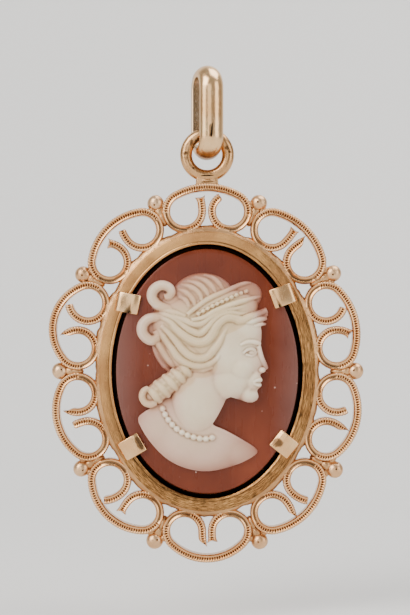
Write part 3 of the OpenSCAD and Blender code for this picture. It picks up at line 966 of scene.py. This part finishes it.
# Outline of a plain, evenly divided head with its neck, looking right
HEAD_OUTLINE = [
    (1.0, 5.6), (2.6, 4.9), (3.55, 4.1), (3.82, 3.5), (3.93, 2.95), (3.92, 2.4), (3.86, 2.05), (3.7, 1.72),
    (3.78, 1.4), (4.0, 0.95), (4.25, 0.5), (4.42, 0.2), (4.45, 0.06), (4.36, -0.06), (4.1, -0.1),
    (3.84, -0.12), (3.82, -0.3), (3.95, -0.48), (4.0, -0.6), (3.93, -0.7), (3.76, -0.77), (3.88, -0.85),
    (3.93, -0.97), (3.84, -1.12), (3.64, -1.26), (3.6, -1.42), (3.68, -1.62), (3.7, -1.82), (3.58, -2.05),
    (3.3, -2.2), (2.9, -2.2), (2.3, -2.0), (1.7, -1.8), (1.36, -1.95), (1.14, -2.45), (0.8, -3.1),
    (0.42, -3.7), (0.5, -4.3), (-1.0, -5.2), (-3.2, -3.4), (-2.6, -1.4), (-2.0, 1.0), (-1.5, 4.5),
    (-0.5, 5.5)]
BUST_MASSES = [
    (-1.1, -4.5, 4.3, 2.83, 0.6, -15), (-3.3, -3.9, 2.1, 1.9, 0.55, 10), (1.6, -5.5, 2.4, 1.3, 0.42, -24)]
BUST_OUTLINE = [
    (-5.1, -3.35), (-4.5, -2.85), (-3.8, -2.48), (-3.2, -1.7), (-2.2, -1.2), (-1.2, -2.2), (0.3, -3.5),
    (0.4, -3.85), (1.1, -4.1), (2.05, -4.6), (3.3, -5.35), (3.7, -5.7), (3.62, -5.98), (2.65, -6.55),
    (1.3, -7.05), (-0.15, -7.28), (-1.5, -7.05), (-2.7, -6.5), (-3.5, -5.8), (-4.15, -5.05), (-4.7, -4.2)]
HAIR_MASSES = [
    (-0.3, 5.25, 2.35, 1.9, 0.52, 0), (-1.35, 3.1, 2.8, 2.3, 0.8, -25), (0.9, 4.2, 2.9, 1.6, 0.9, 18),
    (-1.3, 1.2, 2.3, 1.4, 0.75, -30), (2.75, 5.5, 1.25, 1.05, 0.34, 10), (-3.2, 5.42, 0.8, 0.85, 0.26, 0),
    (-3.95, 3.08, 0.8, 0.9, 0.26, 0), (-2.6, 3.9, 1.3, 1.1, 0.5, 0), (-2.85, 1.75, 0.95, 1.75, 0.45, 28),
    (-2.5, 4.9, 0.9, 0.9, 0.45, 0), (-4.0, -1.75, 0.75, 0.7, 0.5, 0)]


def relief(x, y, masses):
    """Height of the rounded masses at a place."""
    top = 0.0
    for mx, my, wide, high, rise, tilt in masses:
        u, v = tilted(x, y, (mx, my), (wide, high), tilt)
        if u * u + v * v < 1:
            top = max(top, rise * sqrt(1 - u * u - v * v))
    return top


def carved_mass(masses, outline, name):
    """Masses grown together and cut to an outline."""
    body = joined(name, [swell(*mass) for mass in masses])
    worked(body, "REMESH", mode="VOXEL", voxel_size=MASS_GRAIN)
    worked(body, "SMOOTH", factor=0.5, iterations=6)
    cut(body, slab([(x, y, -0.4) for x, y in outline], (0, 0, 2.4)), "INTERSECT")
    return body


def lock(points, radii, masses, lift):
    """A lock of hair or a fold that lies on the masses under it."""
    knots = [(x, y, max(0.12, relief(x, y, masses)) - 0.15 * r + lift) for (x, y), r in zip(points, radii)]
    return drawn(knots, radii)


def tapered(points, thick, start, end):
    """Radii of a lock through these points, slimmer at both ends by these shares."""
    shares = [i / (len(points) - 1) for i in range(len(points))]
    return [thick * min(1, start + (1 - start) * min(1, 4 * u), end + (1 - end) * min(1, 4 * (1 - u)))
            for u in shares]


# Strands of the hair: a line and its thickness, or a line whose places each have a height or radius
WAVES = [
    ([(4.35, 4.45), (3.8, 4.2), (3.0, 3.9), (2.4, 3.7), (2.0, 3.88), (1.45, 3.95), (1.0, 3.7), (0.65, 3.28),
      (0.38, 2.75), (-0.08, 2.26), (-0.62, 2.16), (-1.16, 2.33), (-1.7, 2.67), (-2.24, 3.14), (-2.65, 3.6),
      (-3.4, 4.0)], 0.36),
    ([(1.6, 3.5), (1.2, 2.8), (0.86, 2.13), (0.46, 1.59), (-0.02, 1.11), (-0.62, 0.98), (-1.23, 1.18),
      (-1.77, 1.65), (-2.24, 2.26), (-2.72, 2.8), (-3.26, 3.34)], 0.3),
    ([(1.0, 1.5), (0.73, 1.0), (0.12, 0.58), (-0.62, 0.45), (-1.3, 0.6), (-1.97, 0.98), (-2.45, 1.59),
      (-2.92, 2.26), (-3.39, 2.94)], 0.28),
    ([(3.3, 4.5), (2.48, 4.2), (1.67, 4.27), (1.0, 4.12), (0.46, 3.72), (0.05, 3.21), (-0.49, 2.8),
      (-1.03, 2.92), (-1.57, 3.26), (-2.11, 3.68), (-2.92, 4.09)], 0.27),
    ([(3.1, 4.85), (2.15, 4.6), (1.13, 4.42), (0.32, 4.0), (-0.35, 3.52), (-0.96, 3.46), (-1.57, 3.68),
      (-2.38, 4.02), (-3.05, 4.4)], 0.25),
    ([(4.3, 3.85), (3.75, 3.75), (3.2, 3.6), (2.75, 3.55)], 0.2),
    ([(4.25, 3.45), (3.8, 3.4), (3.4, 3.3)], 0.14),
    ([(4.4, 4.15), (3.9, 3.95), (3.4, 3.75)], 0.17)]
BACK_LOCKS = [
    ([(-4.0, 4.6), (-3.26, 4.49), (-2.45, 4.29), (-1.57, 4.02)], 0.24),
    ([(-3.9, 4.25), (-3.05, 4.15), (-2.24, 3.82), (-1.57, 3.48)], 0.22),
    ([(-3.6, 3.2), (-3.12, 2.55), (-2.65, 1.85), (-2.2, 1.15), (-1.7, 0.5)], 0.27),
    ([(-3.95, 2.6), (-3.5, 2.0), (-3.05, 1.3), (-2.65, 0.75), (-2.2, 0.2)], 0.27),
    ([(-4.0, 2.1), (-3.75, 1.6), (-3.45, 0.95), (-3.05, 0.4), (-2.6, 0.0)], 0.22),
    ([(-1.0, 0.1), (-0.3, 0.15), (0.4, 0.35)], 0.2)]
CROWN_RIBS = [
    [(-0.22, 7.0), (0.46, 6.75), (0.86, 6.38), (1.13, 6.0)],
    [(-0.89, 6.88), (-0.15, 6.58), (0.32, 6.18), (0.6, 5.75)],
    [(-1.43, 6.58), (-0.62, 6.31), (-0.15, 5.91), (0.12, 5.45)],
    [(-1.91, 6.31), (-1.16, 6.11), (-0.56, 5.64), (-0.35, 5.1)],
    [(-2.11, 5.98), (-1.5, 5.71), (-1.03, 5.23), (-0.85, 4.75)],
    [(-2.0, 5.44), (-1.55, 5.17), (-1.3, 4.7)]]
BAND_EDGES = [
    ([(-1.4, 4.15), (-0.62, 4.76), (0.19, 5.3), (1.13, 5.71), (2.01, 6.11), (2.69, 6.38), (3.2, 6.45)], 0.2),
    ([(-1.1, 3.75), (-0.22, 3.95), (0.46, 4.33), (1.47, 4.75), (2.48, 5.08), (3.36, 5.32), (3.9, 5.44)],
     0.19)]
BAND_BEADS = [(-0.62, 4.2), (0.12, 4.62), (0.86, 4.98), (1.67, 5.35), (2.42, 5.68), (2.96, 5.85)]
UPPER_CURL = [
    (-1.5, 4.45, 0.08), (-2.2, 4.48, 0.24), (-3.05, 4.62, 0.34), (-3.75, 4.98, 0.38), (-3.98, 5.6, 0.4),
    (-3.62, 6.12, 0.4), (-3.0, 6.2, 0.37), (-2.6, 5.84, 0.34), (-2.75, 5.46, 0.3), (-3.08, 5.42, 0.2)]
LOWER_CURL = [
    (-2.2, 3.75, 0.1), (-2.95, 3.87, 0.28), (-3.7, 3.93, 0.36), (-4.4, 3.7, 0.4), (-4.7, 3.1, 0.42),
    (-4.45, 2.5, 0.4), (-3.9, 2.27, 0.38), (-3.55, 2.6, 0.32), (-3.72, 2.95, 0.22)]
TAIL = [
    (-1.1, 0.35, 0.5), (-1.75, -0.1, 0.66), (-2.45, -0.62, 0.74), (-3.2, -1.18, 0.78), (-4.0, -1.78, 0.72)]
TAIL_WRAPS = [[(-1.95, 0.45, 0.4), (-1.5, 0.1, 0.72), (-1.15, -0.35, 0.4)],
              [(-2.55, 0.12, 0.4), (-2.0, -0.3, 0.8), (-1.6, -0.8, 0.4)],
              [(-3.15, -0.28, 0.4), (-2.6, -0.75, 0.84), (-2.15, -1.27, 0.4)],
              [(-3.75, -0.72, 0.4), (-3.2, -1.2, 0.84), (-2.75, -1.75, 0.4)],
              [(-4.15, -1.2, 0.45), (-3.78, -1.62, 0.82), (-3.35, -2.15, 0.4)],
              [(-4.2, -1.15, 0.5), (-4.6, -1.45, 0.5), (-4.62, -2.0, 0.5), (-4.2, -2.33, 0.5),
               (-3.65, -2.2, 0.5)]]
NECKLACE = [
    (-3.2, -2.65), (-2.95, -3.2), (-2.45, -3.85), (-1.8, -4.35), (-1.0, -4.68), (-0.2, -4.82),
    (0.42, -4.72)]


def along(points, gap):
    """Places at even gaps along a smooth line through these points."""
    line = drawn([(x, y, 0) for x, y in points], [1.0] * len(points), 0.0)
    path = [v.co.copy() for v in line.data.vertices]
    bpy.data.objects.remove(line)
    places, left = [], 0.0
    for a, b in zip(path, path[1:]):
        step = (b - a).length
        while left <= step:
            p = a + (b - a) * (left / step)
            places.append((p.x, p.y, atan2((b - a).y, (b - a).x)))
            left += gap
        left -= step
    return places


def beads(points, gap, size, masses, lift):
    """Beads along a line: the gap between them, their half sizes, and their lift over the masses."""
    made = []
    for x, y, turn in along(points, gap):
        bpy.ops.mesh.primitive_ico_sphere_add(subdivisions=2, radius=1)
        made.append(settle(bpy.context.object, (x, y, relief(x, y, masses) + lift), (0, 0, turn), size))
    return made


def press(piece, strokes):
    """Push the surface in along short strokes: from, to, width and depth."""
    for (ax, ay), (bx, by), width, depth in strokes:
        dx, dy = bx - ax, by - ay
        for vertex in piece.data.vertices:
            x, y, z = vertex.co
            u = max(0.0, min(1.0, ((x - ax) * dx + (y - ay) * dy) / (dx * dx + dy * dy)))
            near = hypot(x - ax - u * dx, y - ay - u * dy)
            if z >= 0.05 and near < 2.2 * width:
                vertex.co.z -= depth * exp(-(near / width) ** 2)


def hair_share(x, y):
    """How much of a place belongs to the hair, from 0 to 1."""
    tail = max(r + 0.45 - hypot(x - tx, y - ty) for tx, ty, r in TAIL)
    return min(1.0, max(0.0, relief(x, y, HAIR_MASSES) / 0.3, tail / 0.2))


# Places where the head is pressed in: from, to, width and depth
HOLLOWED = [((3.28, 1.42), (2.9, 1.4), 0.42, 0.2), ((3.0, -0.8), (2.8, -1.15), 0.3, 0.05),
            ((3.75, -1.32), (3.2, -1.3), 0.16, 0.1), ((2.2, 2.2), (2.0, 1.4), 0.5, 0.07),
            ((3.3, -0.1), (3.05, -0.45), 0.16, 0.06)]
# Folds laid on the head: line, radii and lift
FOLDS = [([(3.72, 1.85), (3.9, 1.1), (4.12, 0.5), (4.24, 0.2)], [0.17, 0.19, 0.23, 0.23], -0.02),
         ([(3.92, -0.56), (3.62, -0.6), (3.32, -0.72)], [0.15, 0.12, 0.05], 0.02),
         ([(3.86, -0.95), (3.6, -0.92), (3.34, -0.8)], [0.15, 0.12, 0.05], 0.02),
         ([(3.84, 1.98), (3.45, 2.14), (2.9, 2.16), (2.4, 1.95)], [0.16, 0.16, 0.13, 0.07], 0.0),
         ([(3.56, 1.38), (3.3, 1.64), (2.95, 1.62), (2.6, 1.36)], [0.07, 0.105, 0.1, 0.06], -0.11),
         ([(3.5, 1.3), (3.2, 1.17), (2.8, 1.26)], [0.06, 0.07, 0.05], -0.13)]
# Small rounded masses laid on the head
ROUNDINGS = [(3.98, 0.13, 0.24, 0.2, 0.24, 0, 0.45), (3.2, 1.42, 0.34, 0.22, 0.22, 0, 0.47)]
# Height of relief at which the ivory layer is fully white, and how deep the figure sits in the ground
WHITE_AT, SINK = 1.2, 0.02
# Grain to which the masses, and then the whole figure, are melted together
MASS_GRAIN, FIGURE_GRAIN = 0.09, 0.055


def figure():
    all_hair = HEAD_MASSES + HAIR_MASSES
    head = carved_mass(HEAD_MASSES, HEAD_OUTLINE, "head")
    press(head, HOLLOWED)
    parts = [head, carved_mass(BUST_MASSES, rounded(BUST_OUTLINE), "bust")]
    parts += [swell(*mass) for mass in ROUNDINGS]
    parts += [lock(points, radii, HEAD_MASSES, lift) for points, radii, lift in FOLDS]
    parts += [swell(*mass) for mass in HAIR_MASSES]
    # Line, thickness, share left at the start and at the end, and lift
    strands = [(line, thick, 0.7 if line[0][0] > 4 else 0.2, 0.55, -0.2 * thick) for line, thick in WAVES]
    strands += [(line, thick, 0.3, 0.55, -0.25 * thick) for line, thick in BACK_LOCKS]
    strands += [(line, 0.19, 0.55, 0.55, -0.03) for line in CROWN_RIBS]
    strands += [(line, thick, 0.7, 0.3, 0.03) for line, thick in BAND_EDGES]
    for line, thick, start, end, lift in strands:
        parts.append(lock(line, tapered(line, thick, start, end), all_hair, lift))
    for curl, height in ((UPPER_CURL, 0.42), (LOWER_CURL, 0.36), (TAIL, 0.22)):
        strand = drawn([(x, y, height) for x, y, r in curl], [r for x, y, r in curl])
        parts.append(settle(strand, size=(1, 1, 0.84)))
    for points in TAIL_WRAPS:
        parts.append(settle(drawn(points, tapered(points, 0.27, 0.8, 0.8)), size=(1, 1, 0.86)))
    parts += beads(BAND_BEADS, 0.38, (0.16, 0.14, 0.16), all_hair, 0.1)
    parts += beads(NECKLACE, 0.45, (0.235, 0.2, 0.25), BUST_MASSES + HEAD_MASSES, 0.06)
    piece = joined("carved_figure", parts)
    worked(piece, "REMESH", mode="VOXEL", voxel_size=FIGURE_GRAIN)
    worked(piece, "SMOOTH", factor=0.5, iterations=2)
    edit(piece)
    bpy.ops.mesh.bisect(plane_co=(0, 0, 0), plane_no=(0, 0, 1), use_fill=True, clear_inner=True)
    done()
    for name, measure in (("thickness", lambda co: min(1.0, max(0.0, co.z / WHITE_AT))),
                          ("hair", lambda co: hair_share(co.x, co.y))):
        mark = piece.data.attributes.new(name, "FLOAT", "POINT")
        mark.data.foreach_set("value", [measure(v.co) for v in piece.data.vertices])
    smoothed(piece, 60)
    mark_painted_shade(piece)
    for vertex in piece.data.vertices:
        vertex.co.z += dome(vertex.co.x, vertex.co.y) - SINK
    handed_in(face_up(piece), shell_figure(), "pendant", "shell_figure", "cameo_figure")


# Floor, light and camera

# Lamps: name, place, width and height, power
LAMPS = [
    ("key", (-0.2, -0.2, 0.2), (0.22, 0.22), 1.0), ("fill", (0.27, -0.16, 0.03), (0.16, 0.3), 0.4),
    ("front", (-0.05, -0.5, 0.08), (0.26, 0.26), 0.28),
    ("left_panel", (-0.26, -0.2, -0.01), (0.14, 0.3), 0.35), ("back", (0.1, 0.02, 0.22), (0.2, 0.2), 0.6)]
# The middle of the pendant, which the lamps are turned to
MIDDLE = Vector((0, 0, -0.0168))
# The camera's sensor, its distance, and the height that fills the picture, in millimetres
SENSOR, CAMERA_BACK, VIEW_HEIGHT = 24, 130, 44.9
# The paper's place, and the radius and steps of the bend where it rises behind
PAPER_AT, BEND_R, BEND_STEPS = (0, -0.53, -0.0395), 0.12, 16


def studio():
    bpy.ops.mesh.primitive_plane_add(size=1.2)
    edit(bpy.context.object, lambda e: all(v.co.y > 0.5 for v in e.verts), "EDGE")
    for i in range(BEND_STEPS):
        a = pi / 2 * (i + 1) / BEND_STEPS
        b = pi / 2 * i / BEND_STEPS
        pull((0, BEND_R * (sin(a) - sin(b)), BEND_R * (cos(b) - cos(a))))
    pull((0, 0, 0.8))
    floor = settle(done(), PAPER_AT)
    floor.name = "floor"
    bpy.ops.object.shade_smooth()
    paper = Finish("pale_paper")
    paper.shader(Base_Color=(0.78, 0.77, 0.75, 1), Roughness=0.85)
    floor.data.materials.append(paper.look)

    world = bpy.data.worlds.new("studio")
    bpy.context.scene.world = world
    world.use_nodes = True
    background = world.node_tree.nodes["Background"]
    background.inputs["Color"].default_value = (1.0, 0.98, 0.96, 1)
    background.inputs["Strength"].default_value = 0.45
    for name, place, size, power in LAMPS:
        bpy.ops.object.light_add(type="AREA", location=place)
        lamp = bpy.context.object
        lamp.name = name
        lamp.data.shape = "RECTANGLE"
        lamp.data.size, lamp.data.size_y = size
        lamp.data.energy = power
        lamp.rotation_euler = (MIDDLE - Vector(place)).to_track_quat("-Z", "Y").to_euler()
    bpy.ops.object.camera_add(location=(-0.15 * MM, -CAMERA_BACK * MM, MIDDLE.z), rotation=(pi / 2, 0, 0))
    camera = bpy.context.object
    camera.data.sensor_fit = "VERTICAL"
    camera.data.sensor_height = SENSOR
    camera.data.lens = SENSOR * CAMERA_BACK / VIEW_HEIGHT
    camera.data.clip_start = 0.01
    bpy.context.scene.camera = camera


rim()
scallop_wires()
claws()
granules()
solder()
hanging_ring()
bail()
ground()
figure()
studio()
